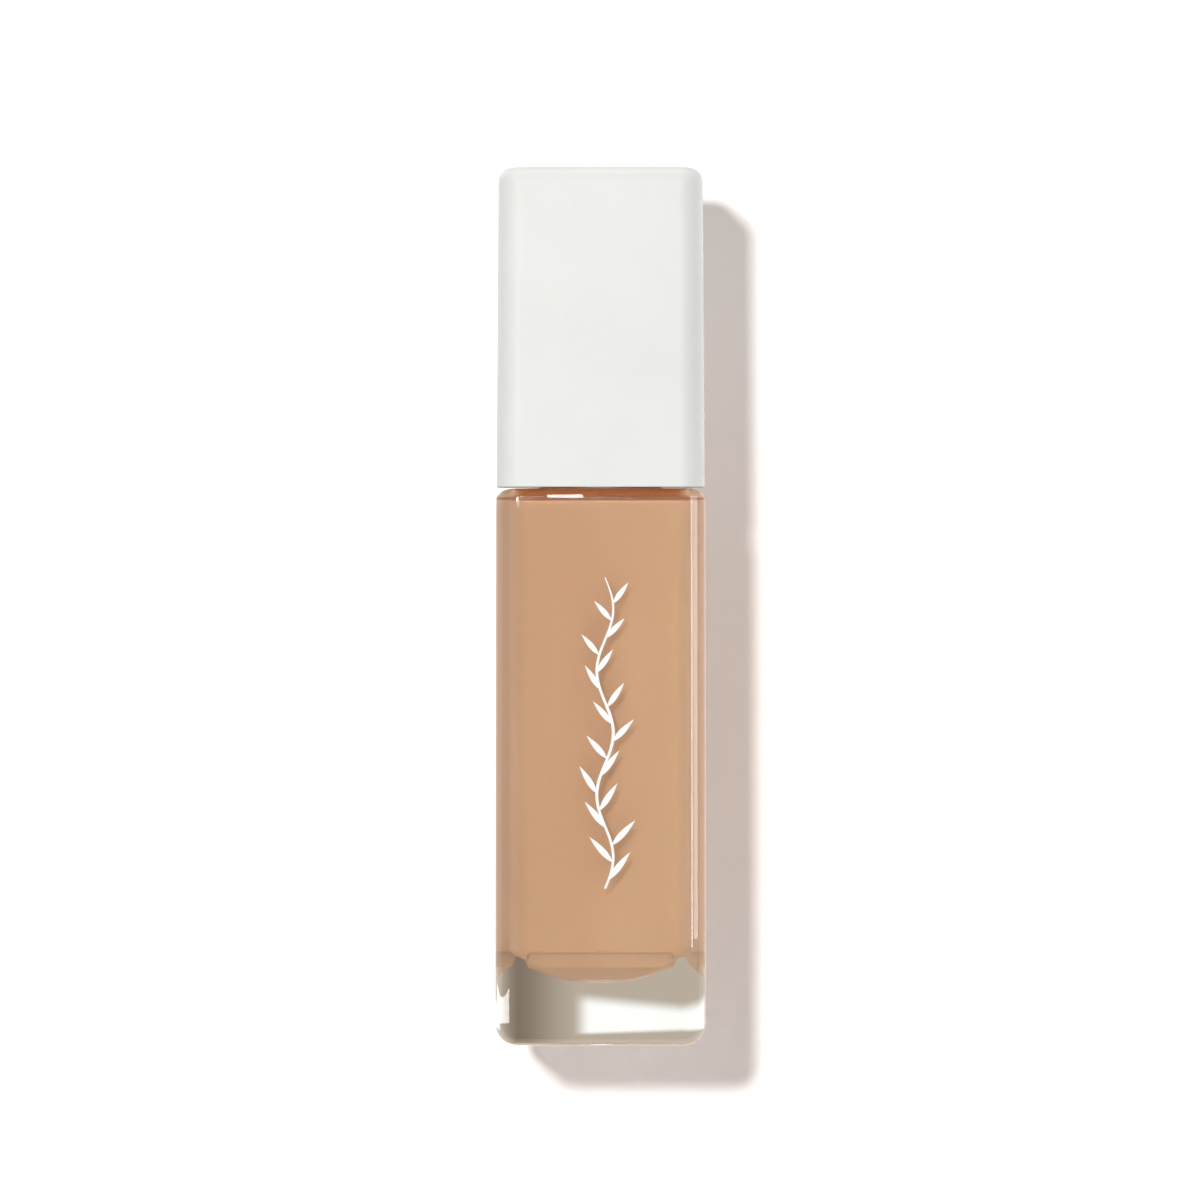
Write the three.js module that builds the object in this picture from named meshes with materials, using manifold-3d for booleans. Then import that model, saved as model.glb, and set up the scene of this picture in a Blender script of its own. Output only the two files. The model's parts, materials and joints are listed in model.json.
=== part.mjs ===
// A 30 ml foundation bottle: thick square glass, liquid, screw-on treatment pump and a tall square overcap.
// Millimetres, +Z up, +X to the right, the printed front faces -Y, origin at the middle of the base.
import * as THREE from "three";
import { mergeVertices } from "three/addons/utils/BufferGeometryUtils.js";
import Module from "manifold-3d";

const wasm = await Module();
wasm.setup();

// ---------------------------------------------------------------- driving dimensions

// Glass bottle
const bottleWidth = 28.2;
const bottleDepth = 28.2;
const shoulderHeight = 74.4;
const bottleTaper = 0.1; // half-width lost between base and shoulder
const cornerRadius = 3.2;
const baseFillet = 3.0;
const shoulderEdgeWidth = 2.6; // the shoulder's rounded edge is an ellipse
const shoulderEdgeHeight = 1.5;
const glassWall = 2.4;
const shoulderWall = 1.5;
const cavityCorner = 2.0;
const floorHeight = 8.2; // clear base under the lowest point of the bowl
const floorRadius = 26.5;
const heelRadius = 1.5;
const cavityEdgeWidth = 0.8;
const cavityEdgeHeight = 0.6;
const baseRecessRadius = 8.5;
const baseRecessDepth = 0.5;

// Neck and screw thread
const neckHeight = 15.3;
const neckRadius = 7.75;
const neckChamfer = 0.4;
const threadDepth = 1.1;
const threadPitch = 3.175;
const threadRootWidth = 1.6;
const threadCrestWidth = 0.8;
const neckThreadTurns = 1.5;
const neckThreadTop = 1.7; // from the neck's lip down to the thread's upper end
const closureThreadTurns = 1;

// Pump
const stroke = 4;
const pistonBore = 3.5;
const barrelWall = 0.8;
const barrelDepth = 21.7;
const flangeThickness = 1.2;
const gasketThickness = 0.8;
const turretFlange = 0.8;
const turretSleeve = 4.85;
const stemRadius = 1.75;
const stemBore = 1.15;
const stemGuideWall = 2.9;
const pistonHeight = 3.2;
const pistonSlip = 0.6;
const springWire = 0.5;
const springCoils = 8;
const ballRadius = 1.2;
const ballLift = 1;
const dipTubeRadius = 1.5;
const dipTubeWall = 0.5;
const dipTubeSeat = 4;
const dipTubeFloorGap = 1.5;

// Collar
const closureWall = 1.2;
const closureRoof = 1.2;
const sleeveWall = 0.68;
const sleeveRoof = 0.6;

// Actuator
const actuatorRadius = 8.2;
const actuatorHeight = 12.6;
const actuatorWall = 1;
const actuatorRoof = 1.2;
const actuatorEdge = 1;
const actuatorDish = 0.6;
const socketWall = 1.1;
const socketDepth = 5.4;
const spoutReach = 11;
const spoutRadius = 2.3;
const spoutHeight = 7.6; // spout's axis over the actuator's lower edge
const channelRadius = 0.9;
const nozzleRadius = 1.6;
const nozzleLength = 1.8;
const orificeRadius = 0.6;

// Overcap
const overcapStep = 0.1; // the overcap's mouth is this far inside the glass, on each side
const overcapDraft = 0.25; // half-width lost between mouth and top
const overcapWall = 1.5;
const overcapRoof = 1.6;
const overcapEdgeWidth = 2.2;
const overcapEdgeHeight = 1.35;
const overcapCrown = 0.25;
const overcapHeadroom = 4.4;
const linerWall = 0.7;
const linerLength = 17;
const linerRibs = 8;
const linerRibWidth = 0.8;

// Decoration
const printLow = 21;
const printTopMargin = 11.9; // from the shoulder down to the print
const printCentre = 0.6;
const printLine = 0.4;
const printThickness = 0.1;
const printWaves = 2.5;
const printSway = 1.1;
const printLeaves = 17;
const leafLength = 4.8;
const leafWidth = 0.9;
const leafLean = 0.68; // radians from upright
const labelRadius = 7.8;
const labelThickness = 0.1;

// Clearances
const seatGap = 0.05; // between flat faces that rest on each other
const snugGap = 0.1; // between pieces that are pressed or snapped together
const runGap = 0.08; // between the piston and its bore
const looseGap = 0.25; // between the stem and what it slides or turns in
const barrelGap = 0.6; // between the pump's barrel and the neck
const threadGap = 0.25; // between a thread's crest and the facing root
const overcapGap = 0.2; // between the shoulder and the overcap's mouth
const fillGap = 0.2; // between the liquid and what it wets
const pressGap = 0.4; // left between actuator and collar at the end of the stroke

// Fineness
const roundSegments = 32;
const smallSegments = 20;
const cornerSteps = 5;

// ---------------------------------------------------------------- sizes that follow

const barrelRadius = pistonBore + barrelWall;
const neckBore = barrelRadius + barrelGap;
const threadCrest = neckRadius + threadDepth;
const closureBore = threadCrest + threadGap;
const closureRadius = closureBore + closureWall;
const sleeveBore = closureRadius + snugGap;
const sleeveRadius = sleeveBore + sleeveWall;
const flangeRadius = closureBore - 4 * snugGap;
const turretRadius = flangeRadius - 0.9;
const bossRadius = stemRadius + looseGap + stemGuideWall;
const collarHole = bossRadius + 4 * snugGap;
const socketRadius = stemRadius + looseGap + socketWall;
const overcapWidth = bottleWidth - 2 * (bottleTaper + overcapStep);
const overcapDepth = bottleDepth - 2 * (bottleTaper + overcapStep);

// Heights, from the base up
const cavityTop = shoulderHeight - shoulderWall;
const printHigh = shoulderHeight - printTopMargin;
const neckTop = shoulderHeight + neckHeight;
const gasketLow = neckTop + seatGap;
const flangeLow = gasketLow + gasketThickness + seatGap;
const flangeTop = flangeLow + flangeThickness;
const turretLow = flangeTop + seatGap;
const turretTop = turretLow + turretFlange;
const closureCeiling = turretTop + seatGap;
const closureTop = closureCeiling + closureRoof;
const sleeveTop = closureTop + snugGap + sleeveRoof;
const bossTop = sleeveTop + pressGap;
const collarLow = shoulderHeight + 2 * overcapGap;
const actuatorLow = sleeveTop + stroke + pressGap;
const actuatorTop = actuatorLow + actuatorHeight;
const spoutAxis = actuatorLow + spoutHeight;
const socketLow = actuatorLow + 1.5 * pressGap;
const stemTop = socketLow + socketDepth;
const overcapLow = shoulderHeight + overcapGap;
const overcapCeiling = actuatorTop + overcapHeadroom;
const overcapTop = overcapCeiling + overcapRoof;

// Heights inside the pump, from the turret down
const turretSleeveLow = turretLow - turretSleeve;
const stemShoulderTop = turretSleeveLow - snugGap;
const stemShoulderLow = stemShoulderTop - 0.8;
const pistonTop = stemShoulderLow - pistonSlip - snugGap;
const pistonLow = pistonTop - pistonHeight;
const plugFlangeTop = pistonLow - snugGap;
const plugFlangeLow = plugFlangeTop - 0.8;
const springLedge = flangeLow - barrelDepth;
const springTop = plugFlangeLow - seatGap;
const ballCeiling = springLedge - 0.7;
const ballSeatRadius = 0.7;
const ballChamber = ballRadius + 0.3;
const ballSeatTop = ballCeiling - 2 * ballRadius - ballLift + 0.6;
const ballSeatLow = ballSeatTop - (ballChamber - ballSeatRadius);
const tubeStop = ballSeatLow - 0.6;
const housingLow = tubeStop - dipTubeSeat;
const nippleRadius = dipTubeRadius + snugGap + 1;

// ---------------------------------------------------------------- making solids

/** The solid inside a closed surface, whichever way its faces are wound. */
function solid(geometry) {
  const bare = new THREE.BufferGeometry();
  bare.setAttribute("position", geometry.getAttribute("position"));
  bare.setIndex(geometry.index);
  const merged = mergeVertices(bare, 1e-5);
  const position = merged.getAttribute("position");
  const index = merged.index.array;
  const triangles = [];
  const corner = [0, 1, 2].map(() => new THREE.Vector3());
  let volume = 0;
  for (let i = 0; i < index.length; i += 3) {
    const [a, b, c] = index.slice(i, i + 3);
    if (a === b || b === c || c === a) continue;
    triangles.push(a, b, c);
    [a, b, c].forEach((vertex, k) => corner[k].fromBufferAttribute(position, vertex));
    volume += corner[0].dot(corner[1].clone().cross(corner[2]));
  }
  if (volume < 0) triangles.reverse();
  return new wasm.Manifold(
    new wasm.Mesh({
      numProp: 3,
      vertProperties: new Float32Array(position.array),
      triVerts: new Uint32Array(triangles),
    }),
  );
}

/** A solid turned about the vertical axis from a profile of [radius, z] points. */
function turned(profile, segments = roundSegments) {
  const points = profile.map(([radius, z]) => new THREE.Vector2(radius, z));
  const geometry = new THREE.LatheGeometry(points, segments);
  geometry.rotateX(Math.PI / 2);
  return solid(geometry);
}

/** A round bar along Y at the spout's height. */
function barAlongY(radius, from, to) {
  const profile = [
    [0, from],
    [radius, from],
    [radius, to],
    [0, to],
  ];
  const points = profile.map(([r, y]) => new THREE.Vector2(r, y));
  const geometry = new THREE.LatheGeometry(points, smallSegments);
  geometry.translate(0, 0, spoutAxis);
  return solid(geometry);
}

function disc(radius, low, high, segments) {
  const profile = [
    [0, low],
    [radius, low],
    [radius, high],
    [0, high],
  ];
  return turned(profile, segments);
}

function ring(inner, outer, low, high, segments) {
  const profile = [
    [inner, low],
    [outer, low],
    [outer, high],
    [inner, high],
    [inner, low],
  ];
  return turned(profile, segments);
}

/** An upright plate that reaches from one radius to another in a given direction. */
function fin(inner, outer, width, low, high, angle) {
  const geometry = new THREE.BoxGeometry(outer - inner, width, high - low);
  geometry.translate((inner + outer) / 2, 0, (low + high) / 2);
  geometry.rotateZ(angle);
  return solid(geometry);
}

/** The solid skinned over rings of points that all have the same count. */
function skinned(rings) {
  const count = rings[0].length;
  const points = rings.flat();
  const index = [];
  for (let level = 0; level + 1 < rings.length; level += 1) {
    for (let i = 0; i < count; i += 1) {
      const a = level * count + i;
      const b = level * count + ((i + 1) % count);
      index.push(a, b, b + count, a, b + count, a + count);
    }
  }
  for (const level of [0, rings.length - 1]) {
    const middle = new THREE.Vector3();
    rings[level].forEach((point) => middle.add(point));
    points.push(middle.divideScalar(count));
    for (let i = 0; i < count; i += 1) {
      const a = level * count + i;
      const b = level * count + ((i + 1) % count);
      index.push(points.length - 1, ...(level === 0 ? [b, a] : [a, b]));
    }
  }
  const geometry = new THREE.BufferGeometry().setFromPoints(points);
  geometry.setIndex(index);
  return solid(geometry);
}

/** A level rectangle with rounded corners, as a ring of points. */
function outline(halfX, halfY, radius, z) {
  const points = [];
  for (let corner = 0; corner < 4; corner += 1) {
    const centreX = (halfX - radius) * (corner === 0 || corner === 3 ? 1 : -1);
    const centreY = (halfY - radius) * (corner < 2 ? 1 : -1);
    for (let step = 0; step <= cornerSteps; step += 1) {
      const angle = ((corner + step / cornerSteps) * Math.PI) / 2;
      const x = centreX + radius * Math.cos(angle);
      const y = centreY + radius * Math.sin(angle);
      points.push(new THREE.Vector3(x, y, z));
    }
  }
  return points;
}

/** The angles that divide a quarter turn into equal steps. */
function quarter(steps) {
  return Array.from({ length: steps + 1 }, (_, i) => ((i / steps) * Math.PI) / 2);
}

function joined(solids) {
  return solids.reduce((whole, next) => whole.add(next));
}

/** A right-hand helical ridge whose two ends run out into its root. */
function threadRidge(root, crest, middleLow, turns) {
  const stepsPerTurn = 24;
  const steps = Math.round(turns * stepsPerTurn);
  const runOut = 2;
  const rings = [];
  for (let step = 0; step <= steps; step += 1) {
    const angle = (step / stepsPerTurn) * 2 * Math.PI;
    const z = middleLow + (step / stepsPerTurn) * threadPitch;
    const rise = Math.min(1, (Math.min(step, steps - step) + 0.3) / runOut);
    const tip = root + (crest - root) * rise;
    const section = [
      [root, -threadRootWidth / 2],
      [tip, -threadCrestWidth / 2],
      [tip, threadCrestWidth / 2],
      [root, threadRootWidth / 2],
    ];
    rings.push(
      section.map(([r, dz]) => new THREE.Vector3(r * Math.cos(angle), r * Math.sin(angle), z + dz)),
    );
  }
  return skinned(rings);
}

// ---------------------------------------------------------------- bottle

function bottleOutline(z, inset) {
  const lost = (bottleTaper * z) / shoulderHeight + inset;
  return outline(bottleWidth / 2 - lost, bottleDepth / 2 - lost, cornerRadius - inset, z);
}

/** The space inside the glass, with every wall moved inwards by the gap. */
function cavity(gap) {
  const halfX = bottleWidth / 2 - bottleTaper - glassWall - gap;
  const halfY = bottleDepth / 2 - bottleTaper - glassWall - gap;
  const bowl = floorRadius - gap;
  const heel = heelRadius - gap;
  const corner = cavityCorner - gap;
  const bowlCentre = floorHeight + floorRadius;
  const bowlReach = (halfX - heel) / (1 - heel / bowl);
  const bowlEnd = Math.asin(bowlReach / bowl);
  const heelCentre = bowlCentre - (bowl - heel) * Math.cos(bowlEnd);
  const rings = [];
  const bowlSteps = 6;
  for (let step = 1; step <= bowlSteps; step += 1) {
    const share = step / bowlSteps;
    const half = bowlReach * share;
    const z = bowlCentre - Math.sqrt(bowl ** 2 - half ** 2);
    const radius = half * (1 - share) + corner * share;
    rings.push(outline(half, (half * halfY) / halfX, radius, z));
  }
  const heelSteps = 3;
  for (let step = 1; step <= heelSteps; step += 1) {
    const angle = bowlEnd + ((Math.PI / 2 - bowlEnd) * step) / heelSteps;
    const inset = heel * (1 - Math.sin(angle));
    rings.push(outline(halfX - inset, halfY - inset, corner, heelCentre - heel * Math.cos(angle)));
  }
  const edgeWidth = cavityEdgeWidth - gap;
  const edgeHeight = cavityEdgeHeight - gap;
  for (const angle of quarter(4)) {
    const inset = edgeWidth * (1 - Math.cos(angle));
    const z = cavityTop - gap - edgeHeight * (1 - Math.sin(angle));
    rings.push(outline(halfX - inset, halfY - inset, Math.max(corner - inset, corner / 4), z));
  }
  return skinned(rings);
}

function glassBottle() {
  const rings = [];
  for (const angle of quarter(5)) {
    const inset = baseFillet * (1 - Math.sin(angle));
    rings.push(bottleOutline(baseFillet * (1 - Math.cos(angle)), inset));
  }
  for (const angle of quarter(4)) {
    const inset = shoulderEdgeWidth * (1 - Math.cos(angle));
    rings.push(bottleOutline(shoulderHeight - shoulderEdgeHeight * (1 - Math.sin(angle)), inset));
  }
  const neck = turned([
    [0, shoulderHeight - shoulderWall / 2],
    [neckRadius, shoulderHeight - shoulderWall / 2],
    [neckRadius, neckTop - neckChamfer],
    [neckRadius - neckChamfer, neckTop],
    [0, neckTop],
  ]);
  const threadLow = neckTop - neckThreadTop - neckThreadTurns * threadPitch;
  const thread = threadRidge(neckRadius - neckChamfer, threadCrest, threadLow, neckThreadTurns);
  const bore = disc(neckBore, cavityTop - shoulderWall, neckTop + 1);
  const recess = disc(baseRecessRadius, -1, baseRecessDepth);
  return skinned(rings).add(neck).add(thread).subtract(cavity(0)).subtract(bore).subtract(recess);
}

/** The fill, open where the pump's barrel and dip tube stand in it. */
function foundationLiquid() {
  const wide = barrelRadius + fillGap;
  const narrow = nippleRadius + fillGap;
  const tube = dipTubeRadius + fillGap;
  const pump = turned([
    [0, floorHeight - 1],
    [tube, floorHeight - 1],
    [tube, housingLow - fillGap],
    [narrow, housingLow - fillGap],
    [narrow, ballSeatTop],
    [wide, springLedge - 1],
    [wide, cavityTop + 1],
    [0, cavityTop + 1],
  ]);
  return cavity(fillGap).subtract(pump);
}

/** A leafy sprig with a swaying stem, printed on the front face. */
function frontPrint() {
  const height = printHigh - printLow;
  const sway = (share) => printSway * Math.sin(share * printWaves * 2 * Math.PI);
  const steps = 36;
  const left = [];
  const right = [];
  for (let step = 0; step <= steps; step += 1) {
    const share = step / steps;
    const x = printCentre + sway(share);
    left.push(new THREE.Vector2(x - printLine / 2, printLow + share * height));
    right.unshift(new THREE.Vector2(x + printLine / 2, printLow + share * height));
  }
  const shapes = [new THREE.Shape([...left, ...right])];
  for (let leaf = 0; leaf < printLeaves; leaf += 1) {
    const share = (leaf + 0.5) / (printLeaves + 1);
    const side = leaf % 2 === 0 ? 1 : -1;
    const root = new THREE.Vector2(printCentre + sway(share), printLow + share * height);
    const along = new THREE.Vector2(side * Math.sin(leafLean), Math.cos(leafLean));
    const across = new THREE.Vector2(-along.y, along.x);
    const length = leafLength * (1 - 0.3 * share);
    const tip = root.clone().addScaledVector(along, length);
    const belly = root.clone().addScaledVector(along, length * 0.45);
    const shape = new THREE.Shape().moveTo(root.x, root.y);
    for (const [way, end] of [
      [1, tip],
      [-1, root],
    ]) {
      const pull = belly.clone().addScaledVector(across, way * leafWidth);
      shape.quadraticCurveTo(pull.x, pull.y, end.x, end.y);
    }
    shapes.push(shape);
  }
  const depth = bottleDepth / 2 - (bottleTaper * printLow) / shoulderHeight + seatGap / 2;
  const options = { depth: printThickness, bevelEnabled: false, curveSegments: 5 };
  const pieces = shapes.map((shape) => {
    const geometry = new THREE.ExtrudeGeometry(shape, options);
    geometry.rotateX(Math.PI / 2);
    geometry.translate(0, -depth, 0);
    return solid(geometry);
  });
  return joined(pieces);
}

function baseLabel() {
  return disc(labelRadius, baseRecessDepth - seatGap - labelThickness, baseRecessDepth - seatGap);
}

// ---------------------------------------------------------------- pump

function neckGasket() {
  return ring(barrelRadius + looseGap, neckRadius - neckChamfer, gasketLow, gasketLow + gasketThickness);
}

function pumpHousing() {
  const outside = turned([
    [0, housingLow],
    [nippleRadius, housingLow],
    [nippleRadius, ballSeatTop + 1],
    [barrelRadius, springLedge - 0.7],
    [barrelRadius, flangeLow],
    [flangeRadius, flangeLow],
    [flangeRadius, flangeTop],
    [0, flangeTop],
  ]);
  const inside = turned([
    [0, housingLow - 1],
    [dipTubeRadius + snugGap, housingLow - 1],
    [dipTubeRadius + snugGap, tubeStop],
    [ballSeatRadius, tubeStop],
    [ballSeatRadius, ballSeatLow],
    [ballChamber, ballSeatTop],
    [ballChamber, ballCeiling],
    [ballRadius - 0.2, ballCeiling],
    [ballRadius - 0.2, springLedge],
    [pistonBore, springLedge],
    [pistonBore, flangeTop + 1],
    [0, flangeTop + 1],
  ]);
  return outside.subtract(inside);
}

function dipTube() {
  const low = floorHeight + dipTubeFloorGap;
  return ring(dipTubeRadius - dipTubeWall, dipTubeRadius, low, tubeStop - snugGap, smallSegments);
}

/** The ball on its conical seat, whose sides rise at 45 degrees. */
function valveBall() {
  const apex = ballSeatLow - ballSeatRadius;
  const geometry = new THREE.SphereGeometry(ballRadius, 16, 10);
  geometry.rotateX(Math.PI / 2);
  geometry.translate(0, 0, apex + ballRadius * Math.SQRT2 + seatGap);
  return solid(geometry);
}

/** A compression spring whose end coils lie close together. */
function returnSpring() {
  const radius = stemRadius + looseGap + 0.3;
  const wire = springWire / 2;
  const low = springLedge + seatGap + wire;
  const high = springTop - wire;
  const closed = springWire * 1.1;
  const open = (high - low - 2 * closed) / (springCoils - 2);
  const stepsPerTurn = 10;
  const sides = 6;
  const rings = [];
  for (let step = 0; step <= springCoils * stepsPerTurn; step += 1) {
    const turn = step / stepsPerTurn;
    const angle = turn * 2 * Math.PI;
    const middle = Math.min(Math.max(turn - 1, 0), springCoils - 2);
    const z = low + middle * open + (turn - middle) * closed;
    const points = [];
    for (let side = 0; side < sides; side += 1) {
      const around = (side / sides) * 2 * Math.PI;
      const r = radius + wire * Math.cos(around);
      const up = z + wire * Math.sin(around);
      points.push(new THREE.Vector3(r * Math.cos(angle), r * Math.sin(angle), up));
    }
    rings.push(points);
  }
  return skinned(rings);
}

/** The lower stem: spring pilot, flange that seals the piston, and a shank inside the stem. */
function stemPlug() {
  return turned(
    [
      [0, plugFlangeLow - 2],
      [stemRadius - 0.35, plugFlangeLow - 2],
      [stemRadius - 0.15, plugFlangeLow - 1.6],
      [stemRadius - 0.15, plugFlangeLow],
      [stemRadius + 0.95, plugFlangeLow],
      [stemRadius + 0.95, plugFlangeTop],
      [stemBore - 2 * snugGap, plugFlangeTop],
      [stemBore - 2 * snugGap, stemShoulderTop + 2],
      [0, stemShoulderTop + 2],
    ],
    smallSegments,
  );
}

/** The hollow stem, with a catch below the turret and two inlet slots at its foot. */
function pumpStem() {
  const stemLow = pistonLow + pistonHeight / 2;
  const tube = turned(
    [
      [stemBore, stemLow],
      [stemRadius, stemLow],
      [stemRadius, stemShoulderLow],
      [stemRadius + 0.85, stemShoulderLow],
      [stemRadius + 0.85, stemShoulderTop],
      [stemRadius, stemShoulderTop],
      [stemRadius, stemTop],
      [stemBore, stemTop],
      [stemBore, stemLow],
    ],
    smallSegments,
  );
  const slot = new THREE.BoxGeometry(4 * stemRadius, 0.8, 1);
  slot.translate(0, 0, stemLow);
  return tube.subtract(solid(slot));
}

/** The sliding seal: a waisted sleeve with a lip at each end. */
function pistonSeal() {
  const inner = stemRadius + 0.8 * looseGap;
  const lip = pistonBore - runGap;
  const waist = lip - 0.6;
  return turned([
    [inner, pistonLow],
    [lip, pistonLow],
    [lip, pistonLow + 0.6],
    [waist, pistonLow + 1.1],
    [waist, pistonTop - 1.1],
    [lip, pistonTop - 0.6],
    [lip, pistonTop],
    [inner, pistonTop],
    [inner, pistonLow],
  ]);
}

/** The ring that is snapped into the barrel, guides the stem and stops its rise. */
function turretRing() {
  const guide = stemRadius + looseGap;
  return turned([
    [guide, turretSleeveLow],
    [pistonBore - snugGap, turretSleeveLow],
    [pistonBore - snugGap, turretLow],
    [turretRadius, turretLow],
    [turretRadius, turretTop],
    [bossRadius, turretTop],
    [bossRadius, bossTop - 0.4],
    [bossRadius - 0.4, bossTop],
    [guide, bossTop],
    [guide, turretSleeveLow],
  ]);
}

// ---------------------------------------------------------------- collar

/** The screw closure, with a bead under the pump's flange and a thread half a pitch below the neck's. */
function collarClosure() {
  const shell = turned([
    [closureBore, collarLow],
    [closureRadius, collarLow],
    [closureRadius, closureTop],
    [collarHole, closureTop],
    [collarHole, closureCeiling],
    [closureBore, closureCeiling],
    [closureBore, collarLow],
  ]);
  const beadTop = flangeLow - snugGap;
  const bead = turned([
    [flangeRadius - 0.3, beadTop],
    [flangeRadius - 0.3, beadTop - 0.3],
    [closureBore + 0.2, beadTop - 0.7],
    [closureBore + 0.2, beadTop],
    [flangeRadius - 0.3, beadTop],
  ]);
  const threadLow = neckTop - neckThreadTop - neckThreadTurns * threadPitch - threadPitch / 2;
  const crest = neckRadius + threadGap;
  const thread = threadRidge(closureBore + 0.2, crest, threadLow + threadPitch, closureThreadTurns);
  return shell.add(bead).add(thread);
}

function collarSleeve() {
  const edge = 0.6;
  const arc = quarter(3).map((angle) => [
    sleeveRadius - edge * (1 - Math.cos(angle)),
    sleeveTop - edge * (1 - Math.sin(angle)),
  ]);
  return turned([
    [sleeveBore, collarLow],
    [sleeveRadius, collarLow],
    ...arc,
    [collarHole, sleeveTop],
    [collarHole, sleeveTop - sleeveRoof],
    [sleeveBore, sleeveTop - sleeveRoof],
    [sleeveBore, collarLow],
  ]);
}

// ---------------------------------------------------------------- actuator

const actuatorInner = actuatorRadius - actuatorWall;
const actuatorCeiling = actuatorTop - actuatorDish - actuatorRoof;

/** The stem's socket, the channel and the spout, under a plate that is snapped into the button. */
function actuatorCore() {
  const socket = disc(socketRadius, socketLow, actuatorCeiling - snugGap, smallSegments);
  const plate = disc(actuatorInner - snugGap, actuatorCeiling - 1.1, actuatorCeiling - snugGap);
  const spout = barAlongY(spoutRadius, -spoutReach, 0);
  const stemHole = disc(stemRadius + looseGap, socketLow - 1, stemTop + snugGap, smallSegments);
  const riser = disc(channelRadius, stemTop, spoutAxis, smallSegments);
  const channel = barAlongY(channelRadius, -spoutReach - 1, channelRadius);
  const nozzleSeat = barAlongY(nozzleRadius + snugGap, -spoutReach - 1, nozzleLength - spoutReach);
  return socket
    .add(plate)
    .add(spout)
    .subtract(stemHole)
    .subtract(riser)
    .subtract(channel)
    .subtract(nozzleSeat);
}

/** The button: a thin cup with a dished top and a window for the spout. */
function actuatorCap() {
  const arc = quarter(3).map((angle) => [
    actuatorRadius - actuatorEdge * (1 - Math.cos(angle)),
    actuatorTop - actuatorEdge * (1 - Math.sin(angle)),
  ]);
  const reach = actuatorRadius - actuatorEdge;
  const dish = [0.7, 0.35, 0].map((share) => [
    reach * share,
    actuatorTop - actuatorDish * (1 - share ** 2),
  ]);
  const cup = turned([
    [0, actuatorCeiling],
    [actuatorInner, actuatorCeiling],
    [actuatorInner, actuatorLow],
    [actuatorRadius, actuatorLow],
    ...arc,
    ...dish,
  ]);
  return cup.subtract(barAlongY(spoutRadius + snugGap, -actuatorRadius - 1, 0));
}

function nozzleTip() {
  const seat = barAlongY(nozzleRadius, -spoutReach - 0.3, nozzleLength - spoutReach - snugGap);
  return seat.subtract(barAlongY(orificeRadius, -spoutReach - 1, 0));
}

// ---------------------------------------------------------------- overcap

/** The overcap's outline at a height, moved inwards by an inset. */
function overcapOutline(z, inset) {
  const share = (z - overcapLow) / (overcapTop - overcapLow);
  const lost = overcapDraft * share + inset;
  const radius = Math.max(cornerRadius - inset, 0.4);
  return outline(overcapWidth / 2 - lost, overcapDepth / 2 - lost, radius, z);
}

function overcapShell() {
  const rimTop = overcapTop - overcapCrown;
  const outer = [overcapOutline(overcapLow, 0)];
  for (const angle of quarter(4)) {
    const inset = overcapEdgeWidth * (1 - Math.cos(angle));
    outer.push(overcapOutline(rimTop - overcapEdgeHeight * (1 - Math.sin(angle)), inset));
  }
  const crownSteps = 3;
  for (let step = 1; step < crownSteps; step += 1) {
    const share = step / crownSteps;
    const inset = overcapEdgeWidth + (overcapWidth / 2 - overcapEdgeWidth - 1) * share;
    const half = overcapWidth / 2 - overcapDraft - inset;
    const halfY = (half * overcapDepth) / overcapWidth;
    const z = rimTop + overcapCrown * (1 - (1 - share) ** 2);
    outer.push(outline(half, halfY, half / 2, z));
  }
  const inner = [overcapLow - 1, overcapCeiling - 0.8].map((z) => overcapOutline(z, overcapWall));
  inner.push(overcapOutline(overcapCeiling, overcapWall + 0.8));
  return skinned(outer).subtract(skinned(inner));
}

/** The overcap's inner cup: a square skirt and a round sleeve with grip ribs, joined at the top. */
function overcapLiner() {
  const low = overcapLow + 0.8;
  const top = low + linerLength;
  const outer = overcapWall + snugGap;
  const bore = sleeveRadius + snugGap + 0.3;
  const square = skinned([overcapOutline(low, outer), overcapOutline(top, outer)]);
  const squareInside = [low - 1, top - linerWall].map((z) => overcapOutline(z, outer + linerWall));
  const skirt = square.subtract(skinned(squareInside));
  const roundPost = disc(bore + linerWall, low, top);
  const reach = Math.SQRT2 * (Math.min(overcapWidth, overcapDepth) / 2 - outer - cornerRadius / 2);
  const webs = [1, 3, 5, 7].map((eighth) =>
    fin(bore, reach, linerWall, low, top, (eighth * Math.PI) / 4),
  );
  const ribs = Array.from({ length: linerRibs }, (_, i) =>
    fin(bore - 0.3, bore + 0.2, linerRibWidth, low + 1, top - 1, ((i + 0.5) * 2 * Math.PI) / linerRibs),
  );
  const body = skirt.add(roundPost).add(joined(webs)).subtract(disc(bore, low - 1, top + 1));
  return body.add(joined(ribs)).intersect(square);
}

// ---------------------------------------------------------------- materials

function paint(color, roughness, metalness = 0, opacity = 1) {
  return new THREE.MeshStandardMaterial({
    color,
    roughness,
    metalness,
    opacity,
    transparent: opacity < 1,
  });
}

const looks = {
  glass: () => paint("#eef1ee", 0.03, 0, 0.35),
  liquid: () => paint("#cc9f7e", 0.3),
  print: () => paint("#fdfdfb", 0.45),
  label: () => paint("#f3f0ea", 0.7),
  satinWhite: () => paint("#ecede8", 0.38),
  glossWhite: () => paint("#f2f2ee", 0.2),
  innerWhite: () => paint("#e6e7e2", 0.5),
  natural: () => paint("#e9ebe6", 0.4, 0, 0.7),
  foam: () => paint("#f4f3ef", 0.9),
  seal: () => paint("#dfe3e4", 0.5),
  steel: () => paint("#b9bcc0", 0.25, 1),
};

// ---------------------------------------------------------------- assembly

const foundationBottle = new THREE.Group();

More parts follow.
